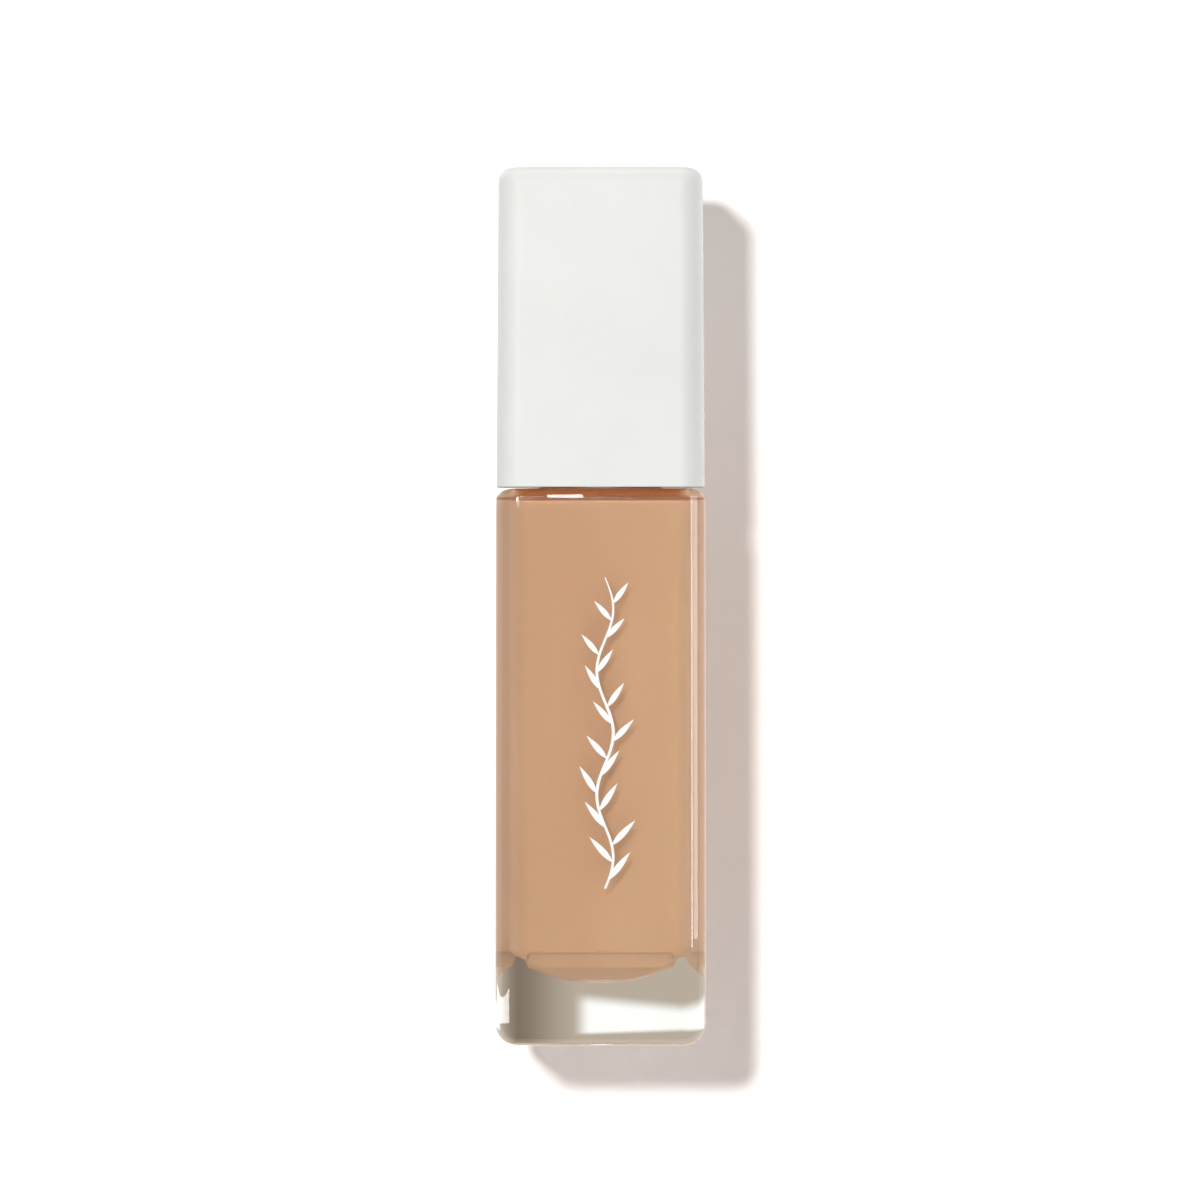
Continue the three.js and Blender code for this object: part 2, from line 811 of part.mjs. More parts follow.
function place(name, body, look) {
  const mesh = body.getMesh();
  const geometry = new THREE.BufferGeometry();
  geometry.setAttribute("position", new THREE.BufferAttribute(mesh.vertProperties, 3));
  geometry.setIndex(new THREE.BufferAttribute(mesh.triVerts, 1));
  geometry.computeVertexNormals();
  const node = new THREE.Mesh(geometry, look());
  node.name = name;
  foundationBottle.add(node);
}

place("glass_bottle", glassBottle(), looks.glass);
place("foundation_liquid", foundationLiquid(), looks.liquid);
place("front_print", frontPrint(), looks.print);
place("base_label", baseLabel(), looks.label);
place("neck_gasket", neckGasket(), looks.foam);
place("pump_housing", pumpHousing(), looks.natural);
place("dip_tube", dipTube(), looks.natural);
place("valve_ball", valveBall(), looks.steel);
place("return_spring", returnSpring(), looks.steel);
place("stem_plug", stemPlug(), looks.innerWhite);
place("pump_stem", pumpStem(), looks.innerWhite);
place("piston_seal", pistonSeal(), looks.seal);
place("turret_ring", turretRing(), looks.innerWhite);
place("collar_closure", collarClosure(), looks.innerWhite);
place("collar_sleeve", collarSleeve(), looks.glossWhite);
place("actuator_core", actuatorCore(), looks.innerWhite);
place("actuator_cap", actuatorCap(), looks.glossWhite);
place("nozzle_tip", nozzleTip(), looks.innerWhite);
place("overcap_liner", overcapLiner(), looks.innerWhite);
place("overcap_shell", overcapShell(), looks.satinWhite);

export default foundationBottle;
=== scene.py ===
# %% [markdown]
# # A foundation bottle
#
# The object is a square bottle of thick clear glass, full of beige liquid foundation, with a white
# treatment pump on its neck and a tall satin-white overcap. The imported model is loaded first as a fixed
# frame. It says how large every part is and which body it moves with, so each piece made here takes its
# place from there. The pieces are modelled in millimetres, and the last step of each scales it to metres.

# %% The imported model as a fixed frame
import json
import math

import bmesh
import bpy
from mathutils import Matrix, Vector

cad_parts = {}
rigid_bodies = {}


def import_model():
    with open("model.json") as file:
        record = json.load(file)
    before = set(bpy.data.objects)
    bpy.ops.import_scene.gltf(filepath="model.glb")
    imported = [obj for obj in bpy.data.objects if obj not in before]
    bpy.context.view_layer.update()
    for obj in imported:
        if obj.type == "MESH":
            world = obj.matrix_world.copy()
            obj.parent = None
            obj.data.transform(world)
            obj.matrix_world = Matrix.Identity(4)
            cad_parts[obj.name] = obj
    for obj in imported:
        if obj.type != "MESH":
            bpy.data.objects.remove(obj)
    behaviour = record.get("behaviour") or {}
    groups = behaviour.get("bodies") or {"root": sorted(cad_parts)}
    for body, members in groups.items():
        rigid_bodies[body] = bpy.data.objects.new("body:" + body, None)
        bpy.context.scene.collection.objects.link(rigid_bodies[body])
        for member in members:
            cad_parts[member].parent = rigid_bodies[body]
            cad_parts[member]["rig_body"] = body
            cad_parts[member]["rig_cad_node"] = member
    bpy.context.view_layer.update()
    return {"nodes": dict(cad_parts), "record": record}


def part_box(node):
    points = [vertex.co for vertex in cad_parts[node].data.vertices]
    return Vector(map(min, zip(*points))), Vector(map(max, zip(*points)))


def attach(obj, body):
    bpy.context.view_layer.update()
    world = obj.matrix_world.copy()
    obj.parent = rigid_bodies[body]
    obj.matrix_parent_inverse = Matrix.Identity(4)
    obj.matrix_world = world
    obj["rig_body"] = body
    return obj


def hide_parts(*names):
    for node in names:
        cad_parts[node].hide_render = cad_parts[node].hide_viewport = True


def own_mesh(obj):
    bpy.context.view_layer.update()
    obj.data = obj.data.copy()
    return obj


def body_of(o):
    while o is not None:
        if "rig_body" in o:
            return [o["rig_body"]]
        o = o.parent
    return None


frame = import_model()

MM = 0.001
AROUND = 96


def span(node):
    """The lowest and highest corner of a part, in millimetres."""
    low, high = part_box(node)
    return Vector(low) / MM, Vector(high) / MM


glass_low, glass_high = span("glass_bottle")
shell_low, shell_high = span("overcap_shell")
print("parts in the frame:", len(frame["nodes"]), "glass half-width:", round(glass_high.x, 2), "mm")

# %% [markdown]
# ## Tools for shaping
#
# Almost every piece of a cosmetic pack is either turned or a block with rounded corners. A turned piece
# starts as half of its outline beside the axis, and spin carries it round. A rounded block starts as a
# cube whose upright edges are bevelled, and then each rim is bevelled too. Working with these two
# operators keeps each shape easy to read, and its sizes easy to change.


# %% Outlines with rounded corners
def softened(corners, steps=5):
    """A path through (radius, z, rounding) corners, with an arc in place of each rounded corner."""
    path = []
    for i, (radius, z, rounding) in enumerate(corners):
        here = Vector((radius, z))
        if rounding == 0 or i in (0, len(corners) - 1):
            path.append(here)
            continue
        back = (Vector(corners[i - 1][:2]) - here).normalized()
        ahead = (Vector(corners[i + 1][:2]) - here).normalized()
        half = back.angle(ahead) / 2
        centre = here + (back + ahead).normalized() * rounding / math.sin(half)
        start = here + back * rounding / math.tan(half) - centre
        end = here + ahead * rounding / math.tan(half) - centre
        turn = math.atan2(start.x * end.y - start.y * end.x, start.dot(end))
        for step in range(steps + 1):
            angle = turn * step / steps
            x = start.x * math.cos(angle) - start.y * math.sin(angle)
            y = start.x * math.sin(angle) + start.y * math.cos(angle)
            path.append(centre + Vector((x, y)))
    return path


def tidied(bm):
    """Closes the seams and turns every face outwards."""
    bmesh.ops.remove_doubles(bm, verts=bm.verts, dist=1e-4)
    bmesh.ops.recalc_face_normals(bm, faces=bm.faces)
    return bm


def turned(corners, steps=AROUND, arc_steps=5):
    """A solid of revolution about Z from an outline of (radius, z, rounding) corners."""
    path = softened(corners, arc_steps)
    bm = bmesh.new()
    closed = (path[0] - path[-1]).length < 1e-6
    if closed:
        path.pop()
    verts = [bm.verts.new((point.x, 0, point.y)) for point in path]
    ends = zip(verts, verts[1:] + verts[:1]) if closed else zip(verts, verts[1:])
    edges = [bm.edges.new(pair) for pair in ends]
    bmesh.ops.spin(bm, geom=verts + edges, cent=(0, 0, 0), axis=(0, 0, 1), dvec=(0, 0, 0),
                   angle=2 * math.pi, steps=steps, use_merge=True)
    return tidied(bm)


def ring_outline(inner, outer, low, high, rounding):
    """The outline of a plain ring, which starts and ends halfway up its bore."""
    middle = (low + high) / 2
    return [(inner, middle, 0), (inner, low, rounding), (outer, low, rounding),
            (outer, high, rounding), (inner, high, rounding), (inner, middle, 0)]


sample = turned(ring_outline(3, 4, 0, 2, 0.2))
print("a turned ring has", len(sample.faces), "faces")
sample.free()


# %% Blocks with rounded corners
CORNER_STEPS = 12


def bevelled(bm, edges, width, steps):
    """Rounds edges to a circular arc."""
    bmesh.ops.bevel(bm, geom=list(edges), offset=width, offset_type="OFFSET", segments=steps,
                    profile=0.5, affect="EDGES", clamp_overlap=False, material=-1)


def block(half_x, half_y, low, high, corner, steps=CORNER_STEPS):
    """An upright block whose four upright edges are rounded."""
    bm = bmesh.new()
    bmesh.ops.create_cube(bm, size=1)
    bmesh.ops.scale(bm, vec=(2 * half_x, 2 * half_y, high - low), verts=bm.verts)
    bmesh.ops.translate(bm, vec=(0, 0, (low + high) / 2), verts=bm.verts)
    upright = [e for e in bm.edges if abs(e.verts[0].co.z - e.verts[1].co.z) > 1e-3]
    bevelled(bm, upright, corner, steps)
    return bm


def end_face(bm, z):
    """The flat face that closes a block at a height."""
    flat = [f for f in bm.faces if all(abs(v.co.z - z) < 1e-3 for v in f.verts)]
    return max(flat, key=lambda face: face.calc_area())


def rounded_rim(bm, z, width, height, steps=10):
    """Rounds the rim at a height to a quarter ellipse, width inwards and height along Z."""
    bevelled(bm, end_face(bm, z).edges, width, steps)
    for vert in bm.verts:
        if abs(vert.co.z - z) < width - 1e-4:
            vert.co.z = z + (vert.co.z - z) * height / width


def dished(bm, z, height_at, rings=12):
    """Divides an end face into rings and moves them to the height that height_at gives."""
    face = end_face(bm, z)
    rim = list(face.edges)
    moved = list(face.verts)
    for ring in range(rings, 1, -1):
        grown = bmesh.ops.extrude_face_region(bm, geom=[face])["geom"]
        bmesh.ops.delete(bm, geom=[face], context="FACES_ONLY")
        verts = [g for g in grown if isinstance(g, bmesh.types.BMVert)]
        face = next(g for g in grown if isinstance(g, bmesh.types.BMFace))
        bmesh.ops.scale(bm, vec=((ring - 1) / ring, (ring - 1) / ring, 1), verts=verts)
        moved += verts
    moved += bmesh.ops.poke(bm, faces=[face])["verts"]
    for vert in moved:
        vert.co.z = height_at(vert.co.x, vert.co.y)
    return rim


def tapered(bm, low, high, half, lost):
    """Narrows a block evenly with height, as a mould's draft does."""
    for vert in bm.verts:
        factor = 1 - lost * (vert.co.z - low) / (high - low) / half
        vert.co.x *= factor
        vert.co.y *= factor


sample = block(5, 5, 0, 10, 1)
print("a rounded block has", len(sample.faces), "faces")
sample.free()


# %% Joining and cutting
def temporary(bm):
    mesh = bpy.data.meshes.new("tool")
    bm.to_mesh(mesh)
    bm.free()
    made = bpy.data.objects.new("tool", mesh)
    bpy.context.collection.objects.link(made)
    return made


def combined(base, tool, operation):
    """Joins or cuts two closed shapes, with operation UNION, DIFFERENCE or INTERSECT."""
    first, second = temporary(base), temporary(tool)
    boolean = first.modifiers.new("boolean", "BOOLEAN")
    boolean.object = second
    boolean.operation = operation
    boolean.solver = "EXACT"
    result = bmesh.new()
    result.from_object(first, bpy.context.evaluated_depsgraph_get())
    for made in (first, second):
        mesh = made.data
        bpy.data.objects.remove(made, do_unlink=True)
        bpy.data.meshes.remove(mesh)
    return tidied(result)


def hollowed(outer, inner, low):
    """Makes one cup from an outer and an inner block that are both open at the bottom."""
    bmesh.ops.reverse_faces(inner, faces=inner.faces)
    mesh = bpy.data.meshes.new("inside")
    inner.to_mesh(mesh)
    inner.free()
    outer.from_mesh(mesh)
    bpy.data.meshes.remove(mesh)
    ends = [f for f in outer.faces if all(abs(v.co.z - low) < 1e-3 for v in f.verts)]
    rims = [edge for face in ends for edge in face.edges]
    bmesh.ops.delete(outer, geom=ends, context="FACES_ONLY")
    bmesh.ops.bridge_loops(outer, edges=rims)
    return tidied(outer)


THREAD_PITCH = 3.175
STEPS_PER_TURN = 60


def screw_ridge(root, crest, low, turns, root_width=1.6, crest_width=0.8):
    """A right-hand thread ridge, from one face that spin carries up a helix."""
    steps = round(turns * STEPS_PER_TURN)
    bm = bmesh.new()
    section = [(root, -root_width / 2), (crest, -crest_width / 2),
               (crest, crest_width / 2), (root, root_width / 2)]
    face = bm.faces.new([bm.verts.new((r, 0, low + z)) for r, z in section])
    bmesh.ops.spin(bm, geom=[face], cent=(0, 0, 0), axis=(0, 0, 1),
                   dvec=(0, 0, THREAD_PITCH / STEPS_PER_TURN), angle=2 * math.pi * turns, steps=steps)
    return tidied(bm)


# %% [markdown]
# ## Putting a piece in the scene
#
# A finished shape becomes an object at the origin, with its place in its mesh. It rides on the body that
# it belongs to, and takes the place of the part of the imported model, which it hides. Faces are shaded
# smooth, edges over 35 degrees stay crisp, and a Weighted Normal modifier keeps large flat faces flat
# beside narrow roundings.

# %% Placing pieces
bodies = frame["record"]["behaviour"]["bodies"]


def placed(name, bm, finish, node, sharp=35):
    """Puts a finished shape in the scene in place of a part, and returns its object."""
    volume = bm.calc_volume()
    bmesh.ops.scale(bm, vec=(MM, MM, MM), verts=bm.verts)
    for face in bm.faces:
        face.smooth = True
    for edge in bm.edges:
        edge.smooth = len(edge.link_faces) == 2 and edge.calc_face_angle(0) < math.radians(sharp)
    mesh = bpy.data.meshes.new(name)
    bm.to_mesh(mesh)
    open_edges = sum(len(edge.link_faces) != 2 for edge in bm.edges)
    bm.free()
    mesh.materials.append(finish)
    made = bpy.data.objects.new(name, mesh)
    bpy.context.collection.objects.link(made)
    weighted = made.modifiers.new("weighted normals", "WEIGHTED_NORMAL")
    weighted.keep_sharp = True
    weighted.weight = 80
    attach(made, next(body for body, nodes in bodies.items() if node in nodes))
    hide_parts(node)
    print(f"{name}: {len(mesh.polygons)} faces, {open_edges} open edges, {volume:.1f} mm3")
    return made


# %% [markdown]
# ## Finishes
#
# Each finish is a Principled shader whose colour, roughness and bump come from patterns on Object
# coordinates, so that a pattern stays with its piece. Plastic is never quite even: a mould leaves a fine
# texture, and thick walls show slow changes of tone.


# %% Finishes: shared steps
def linear(*levels):
    """A display colour with levels from 0 to 255, as the shader wants it."""
    def decoded(level):
        share = level / 255
        return share / 12.92 if share <= 0.04045 else ((share + 0.055) / 1.055) ** 2.4
    return (*[decoded(level) for level in levels], 1)


def plain_finish(name, colour, roughness, **sockets):
    """A Principled material and its shader node."""
    material = bpy.data.materials.new(name)
    material.use_nodes = True
    shader = material.node_tree.nodes["Principled BSDF"]
    shader.inputs["Base Color"].default_value = colour
    shader.inputs["Roughness"].default_value = roughness
    for socket, value in sockets.items():
        shader.inputs[socket.replace("_", " ")].default_value = value
    return material, shader


def noise(material, scale, detail=3, stretch=(1, 1, 1)):
    """A noise pattern on Object coordinates, in features per metre."""
    nodes, links = material.node_tree.nodes, material.node_tree.links
    place = nodes.new("ShaderNodeTexCoord")
    mapping = nodes.new("ShaderNodeMapping")
    mapping.inputs["Scale"].default_value = stretch
    pattern = nodes.new("ShaderNodeTexNoise")
    pattern.inputs["Scale"].default_value = scale
    pattern.inputs["Detail"].default_value = detail
    links.new(place.outputs["Object"], mapping.inputs["Vector"])
    links.new(mapping.outputs["Vector"], pattern.inputs["Vector"])
    return pattern.outputs["Fac"]


def ramp(material, factor, dark, light):
    """A colour that runs from dark to light as a pattern's value does."""
    blend = material.node_tree.nodes.new("ShaderNodeValToRGB")
    blend.color_ramp.elements[0].position = 0.3
    blend.color_ramp.elements[1].position = 0.7
    blend.color_ramp.elements[0].color = dark
    blend.color_ramp.elements[1].color = light
    material.node_tree.links.new(factor, blend.inputs["Fac"])
    return blend.outputs["Color"]


def roughness_range(material, shader, factor, low, high):
    """Roughness that wanders between two values with a pattern."""
    spread = material.node_tree.nodes.new("ShaderNodeMapRange")
    spread.inputs["To Min"].default_value = low
    spread.inputs["To Max"].default_value = high
    material.node_tree.links.new(factor, spread.inputs["Value"])
    material.node_tree.links.new(spread.outputs["Result"], shader.inputs["Roughness"])


def bump(material, shader, factor, depth, strength=1.0):
    """Raises the surface with a pattern, by a depth in millimetres."""
    relief = material.node_tree.nodes.new("ShaderNodeBump")
    relief.inputs["Strength"].default_value = strength
    relief.inputs["Distance"].default_value = depth * MM
    material.node_tree.links.new(factor, relief.inputs["Height"])
    material.node_tree.links.new(relief.outputs["Normal"], shader.inputs["Normal"])


def moulded(name, dark, light, low, high, texture=0.004, **sockets):
    """Injection-moulded plastic: slow changes of tone, and a fine even texture."""
    material, shader = plain_finish(name, light, high, **sockets)
    tone = ramp(material, noise(material, 45), dark, light)
    material.node_tree.links.new(tone, shader.inputs["Base Color"])
    roughness_range(material, shader, noise(material, 160), low, high)
    bump(material, shader, noise(material, 5200, 2), texture)
    return material


# %% Finishes: glass
glass, glass_shader = plain_finish("flint_glass", (0.985, 0.99, 0.985, 1), 0.0,
                                   Transmission_Weight=1.0, IOR=1.5)
bump(glass, glass_shader, noise(glass, 38, 1), 0.02, 0.5)

# %% Finishes: liquid foundation
def cream(top):
    """Opaque beige cream with slow streaks of pigment, and painted shade on its level top: a deeper, browner
    colour there.
    """
    material, shader = plain_finish("foundation_cream", linear(205, 166, 131), 0.55,
                                    Subsurface_Weight=0.25, Subsurface_Scale=0.0012,
                                    Specular_IOR_Level=0.15, Coat_Weight=0.4, Coat_Roughness=0.1)
    shader.inputs["Subsurface Radius"].default_value = (1.0, 0.55, 0.35)
    nodes, links = material.node_tree.nodes, material.node_tree.links
    streaks = noise(material, 55, 2, (1, 1, 0.18))
    tone = ramp(material, streaks, linear(195, 153, 117), linear(204, 164, 128))
    place = nodes.new("ShaderNodeTexCoord")
    axes = nodes.new("ShaderNodeSeparateXYZ")
    links.new(place.outputs["Object"], axes.inputs["Vector"])
    # Painted shade: the top quarter millimetre of the cream turns a deeper brown, for the level top in shade
    # under the cap.
    height = nodes.new("ShaderNodeMapRange")
    height.inputs["From Min"].default_value = (top - 0.25) * MM
    height.inputs["From Max"].default_value = (top - 0.05) * MM
    links.new(axes.outputs["Z"], height.inputs["Value"])
    mix = nodes.new("ShaderNodeMix")
    mix.data_type = "RGBA"
    links.new(height.outputs["Result"], mix.inputs["Factor"])
    links.new(tone, mix.inputs["A"])
    # The colour of the painted shade on the level top.
    mix.inputs["B"].default_value = linear(170, 100, 55)
    links.new(mix.outputs["Result"], shader.inputs["Base Color"])
    roughness_range(material, shader, noise(material, 240), 0.5, 0.62)
    return material


# %% Finishes: plastics, foam and steel
satin_white = moulded("satin_white_plastic", linear(233, 234, 230), linear(238, 239, 235), 0.48, 0.58,
                      Subsurface_Weight=0.08, Subsurface_Scale=0.001)
gloss_white = moulded("gloss_white_plastic", linear(236, 236, 232), linear(242, 242, 238), 0.12, 0.2,
                      0.0015, Coat_Weight=0.4, Coat_Roughness=0.06)
inner_white = moulded("inner_white_plastic", linear(226, 227, 223), linear(234, 235, 231), 0.42, 0.55,
                      Subsurface_Weight=0.1, Subsurface_Scale=0.001)
natural_plastic = moulded("natural_plastic", linear(214, 216, 212), linear(226, 228, 224), 0.35, 0.5,
                          Subsurface_Weight=0.4, Subsurface_Scale=0.002)
seal_plastic = moulded("seal_plastic", linear(205, 211, 213), linear(216, 221, 222), 0.4, 0.55,
                       Subsurface_Weight=0.3, Subsurface_Scale=0.001)
print_ink = moulded("white_ink", linear(250, 250, 248), linear(254, 254, 252), 0.35, 0.5, 0.003)
label_paper = moulded("label_paper", linear(236, 232, 224), linear(244, 240, 233), 0.7, 0.85, 0.01)


def foam():
    """Closed-cell foam: a soft white surface with small cells."""
    material, shader = plain_finish("gasket_foam", linear(240, 239, 234), 0.9)
    cells = material.node_tree.nodes.new("ShaderNodeTexVoronoi")
    cells.inputs["Scale"].default_value = 5000
    place = material.node_tree.nodes.new("ShaderNodeTexCoord")
    material.node_tree.links.new(place.outputs["Object"], cells.inputs["Vector"])
    # The cells are darker at their centres, where the bump sinks them: painted shade in the pits.
    tone = ramp(material, cells.outputs["Distance"], linear(228, 227, 221), linear(244, 243, 239))
    material.node_tree.links.new(tone, shader.inputs["Base Color"])
    bump(material, shader, cells.outputs["Distance"], 0.05)
    return material


def steel():
    """Drawn stainless wire: bright, with fine lines from the die."""
    material, shader = plain_finish("stainless_steel", linear(200, 202, 205), 0.22, Metallic=1.0)
    lines = noise(material, 9000, 2, (1, 1, 0.2))
    tone = ramp(material, lines, linear(186, 188, 192), linear(208, 210, 213))
    material.node_tree.links.new(tone, shader.inputs["Base Color"])
    roughness_range(material, shader, lines, 0.16, 0.3)
    return material


gasket_foam = foam()
stainless = steel()
print("finishes:", len(bpy.data.materials))

# %% [markdown]
# ## The glass bottle
#
# The real bottle is blown in a mould: its outside is a square block with rounded corners, and the cavity
# is a smaller block whose floor is a bowl, far above the base. A block is bevelled for each, and the
# bowl's height follows a rounded-square distance, so that it turns smoothly from round in the middle to
# square at the walls. The neck and its thread are joined on, and the recess under the base is cut.
# Cavity and bore are cut as one shape, because a cavity that is closed for a while would count as solid
# once the normals are recalculated.

# %% Bottle: outside and cavity
SHOULDER = shell_low.z - 0.2
TAPER = 0.1
GLASS_WALL = 2.4
CAVITY_TOP = SHOULDER - 1.5
BOWL_BOTTOM = 8.2
BOWL_RADIUS = 26.5
NECK_RADIUS = 7.75
NECK_TOP = glass_high.z
BORE = 4.9
GLASS_HALF = glass_high.x
CORNER = 3.2
THREAD_TURNS = 1.5
THREAD_LOW = NECK_TOP - 1.7 - THREAD_TURNS * THREAD_PITCH
RECESS_RADIUS = 8.5
RECESS_DEPTH = 0.5


def squareness(x, y):
    """Distance from the axis on level lines that are rounded squares."""
    return (x ** 4 + y ** 4) ** 0.25


def bowl_height(x, y, room=0.0):
    radius = BOWL_RADIUS - room
    return BOWL_BOTTOM + BOWL_RADIUS - math.sqrt(radius ** 2 - squareness(x, y) ** 2)


def cavity(room):
    """The space inside the glass, smaller all round by the room given."""
    half = GLASS_HALF - TAPER - GLASS_WALL - room
    low = bowl_height(half, 0, room)
    bm = block(half, half, low, CAVITY_TOP - room, 2.0 - room)
    rounded_rim(bm, CAVITY_TOP - room, 0.8 - room, 0.6 - room, 6)
    heel = dished(bm, low, lambda x, y: bowl_height(x, y, room), 6)
    bevelled(bm, heel, 1.7, 8)
    return tidied(bm)


def bottle_glass():
    outside = block(GLASS_HALF, GLASS_HALF, 0, SHOULDER, CORNER)
    rounded_rim(outside, SHOULDER, 2.6, 1.5)
    rounded_rim(outside, 0, 3.0, 3.0)
    tapered(outside, 0, SHOULDER, GLASS_HALF, TAPER)
    neck = turned([(0, SHOULDER - 0.8, 0), (NECK_RADIUS + 1.2, SHOULDER - 0.8, 0),
                   (NECK_RADIUS + 1.2, SHOULDER, 0), (NECK_RADIUS, SHOULDER + 0.01, 0.9),
                   (NECK_RADIUS, NECK_TOP, 0.6), (0, NECK_TOP, 0)])
    thread = screw_ridge(NECK_RADIUS - 0.3, NECK_RADIUS + 1.1, THREAD_LOW, THREAD_TURNS)
    bore = turned([(0, CAVITY_TOP - 1.5, 0), (BORE, CAVITY_TOP - 1.5, 0), (BORE, NECK_TOP + 1, 0),
                   (0, NECK_TOP + 1, 0)])
    recess = turned([(0, -1, 0), (RECESS_RADIUS, -1, 0), (RECESS_RADIUS, RECESS_DEPTH, 0.3),
                     (0, RECESS_DEPTH, 0)])
    made = combined(outside, neck, "UNION")
    made = combined(made, thread, "UNION")
    made = combined(made, combined(cavity(0), bore, "UNION"), "DIFFERENCE")
    return combined(made, recess, "DIFFERENCE")


bottle = placed("bottle_glass", bottle_glass(), glass, "glass_bottle")

# %% [markdown]
# ## The liquid
#
# Liquid wets glass, so there is no air between the two. If the liquid stopped short of the glass, the
# render would show an air gap as a silvery skin. Its surface is therefore a hair larger than the cavity,
# and a ray that travels in the glass meets the liquid directly. A shaft is left open for the pump. The
# cream's level top, where it is seen through the shoulder, has painted shade: a deeper, browner colour.

# %% Liquid
tube_low, tube_high = span("dip_tube")
housing_low, housing_high = span("pump_housing")
OVERLAP = 0.02
SHAFT_FLOOR = 8.0
SHAFT_TOP = 75.0
TUBE_SHAFT = 1.7
BARREL_SHAFT = 2.8
NECK_SHAFT = 4.5


def liquid_fill():
    tube_top = housing_low.z - 0.2
    shaft = turned([(0, SHAFT_FLOOR, 0), (TUBE_SHAFT, SHAFT_FLOOR, 0), (TUBE_SHAFT, tube_top, 0),
                    (BARREL_SHAFT, tube_top, 0), (BARREL_SHAFT, 65.5, 0), (NECK_SHAFT, 68.0, 0),
                    (NECK_SHAFT, SHAFT_TOP, 0), (0, SHAFT_TOP, 0)], 48)
    return combined(cavity(-OVERLAP), shaft, "DIFFERENCE")


liquid = placed("liquid_foundation", liquid_fill(), cream(CAVITY_TOP), "foundation_liquid")

# %% [markdown]
# ## The overcap
#
# A square cup with a slight draft, so that it leaves its mould, a softly rounded top edge and a top that
# is a little crowned. The outside and the inside are two rounded blocks, open at the mouth and bridged
# there. Two small bevels take the sharpness off the mouth.

# %% Overcap
CAP_DRAFT = 0.25
CAP_WALL = 1.5
CAP_CROWN = 0.25
CAP_RIM = shell_high.z - CAP_CROWN
CAP_ROUNDING = 2.2
CAP_ROOF = shell_high.z - 1.6


def overcap():
    half, low = shell_high.x, shell_low.z
    outer = block(half, half, low, CAP_RIM, CORNER)
    rounded_rim(outer, CAP_RIM, CAP_ROUNDING, 1.75)
    reach = half - CAP_ROUNDING

    def crown(x, y):
        return CAP_RIM + CAP_CROWN * (1 - (squareness(x, y) / reach / 1.19) ** 2)

    dished(outer, CAP_RIM, crown)
    inner = block(half - CAP_WALL, half - CAP_WALL, low, CAP_ROOF, CORNER - CAP_WALL)
    rounded_rim(inner, CAP_ROOF, 0.8, 0.8, 5)
    cup = hollowed(outer, inner, low)
    tapered(cup, low, shell_high.z, half, CAP_DRAFT)
    mouth = [e for e in cup.edges if all(abs(v.co.z - low) < 1e-3 for v in e.verts)
             and any(abs(f.normal.z) < 0.5 for f in e.link_faces)]
    bevelled(cup, mouth, 0.15, 3)
    return cup


placed("overcap_square", overcap(), satin_white, "overcap_shell")

# %% [markdown]
# ## The overcap's liner
#
# A square overcap can't grip a round collar by itself. A liner is snapped into it: a square skirt that
# fits the overcap, and a round sleeve inside with eight small ribs that grip the collar. Four webs join
# the two across the corners.

# %% Liner
liner_low, liner_high = span("overcap_liner")
LINER_WALL = 0.7
LINER_BORE = 11.48


def spoke(inner, outer, width, low, high, angle):
    """An upright plate that runs outwards from the axis at an angle."""
    bm = block((outer - inner) / 2, width / 2, low, high, 0.08, 2)
    bmesh.ops.translate(bm, vec=((inner + outer) / 2, 0, 0), verts=bm.verts)
    bmesh.ops.rotate(bm, cent=(0, 0, 0), matrix=Matrix.Rotation(angle, 3, "Z"), verts=bm.verts)
    return bm


def merged(shapes):
    """Puts shapes that don't touch into one bmesh."""
    first, *others = shapes
    for other in others:
        mesh = bpy.data.meshes.new("other")
        other.to_mesh(mesh)
        other.free()
        first.from_mesh(mesh)
        bpy.data.meshes.remove(mesh)
    return first


def rod(radius, low, high, edge=0.0):
    """A plain round solid, or a cutter for a round hole."""
    return turned([(0, low, 0), (radius, low, edge), (radius, high, edge), (0, high, 0)])


def liner():
    low, high, half = liner_low.z, liner_high.z, liner_high.x
    skirt = block(half, half, low, high, 1.6, 6)
    rounded_rim(skirt, high, 0.3, 0.3, 3)
    space = block(half - LINER_WALL, half - LINER_WALL, low - 1, high - LINER_WALL, 0.9, 6)
    made = combined(skirt, space, "DIFFERENCE")
    made = combined(made, rod(LINER_BORE + LINER_WALL, low, high - 0.2), "UNION")
    corners = [spoke(LINER_BORE + 0.2, 16.0, LINER_WALL, low, high - 0.2, (turn + 0.5) * math.pi / 2)
               for turn in range(4)]
    made = combined(made, merged(corners), "UNION")
    made = combined(made, rod(LINER_BORE, low - 1, high + 1), "DIFFERENCE")
    ribs = [spoke(LINER_BORE - 0.3, LINER_BORE + 0.2, 0.8, low + 1, high - 1, (turn + 0.5) * math.pi / 4)
            for turn in range(8)]
    made = combined(made, merged(ribs), "UNION")
    tapered(made, low, high, half, 0.1)
    return made


placed("overcap_grip_liner", liner(), inner_white, "overcap_liner")

# %% [markdown]
# ## The printed sprig
#
# The front carries a raised white screen print: a swaying stem with slim leaves. The stem starts as a
# narrow grid, each leaf as a circle that is drawn out to two points. They are given the thickness of the
# ink, and joined.

# %% Sprig
print_low, print_high = span("front_print")
PRINT_CENTRE = 0.6
PRINT_LINE = 0.4
LEAVES = 17
LEAF_LENGTH = 4.8
LEAF_WIDTH = 0.85
INK = 0.1


def sway(share):
    return 1.1 * math.sin(share * 2.5 * 2 * math.pi)


def flat_stem(low, height):
    bm = bmesh.new()
    bmesh.ops.create_grid(bm, x_segments=1, y_segments=90, size=1)
    for vert in bm.verts:
        share = (vert.co.y + 1) / 2
        fine = 0.45 + 0.55 * math.sin(math.pi * min(1, 0.12 + share * 0.9)) ** 0.5
        vert.co.x = PRINT_CENTRE + sway(share) + vert.co.x * PRINT_LINE / 2 * fine
        vert.co.y = low + share * height
    return bm


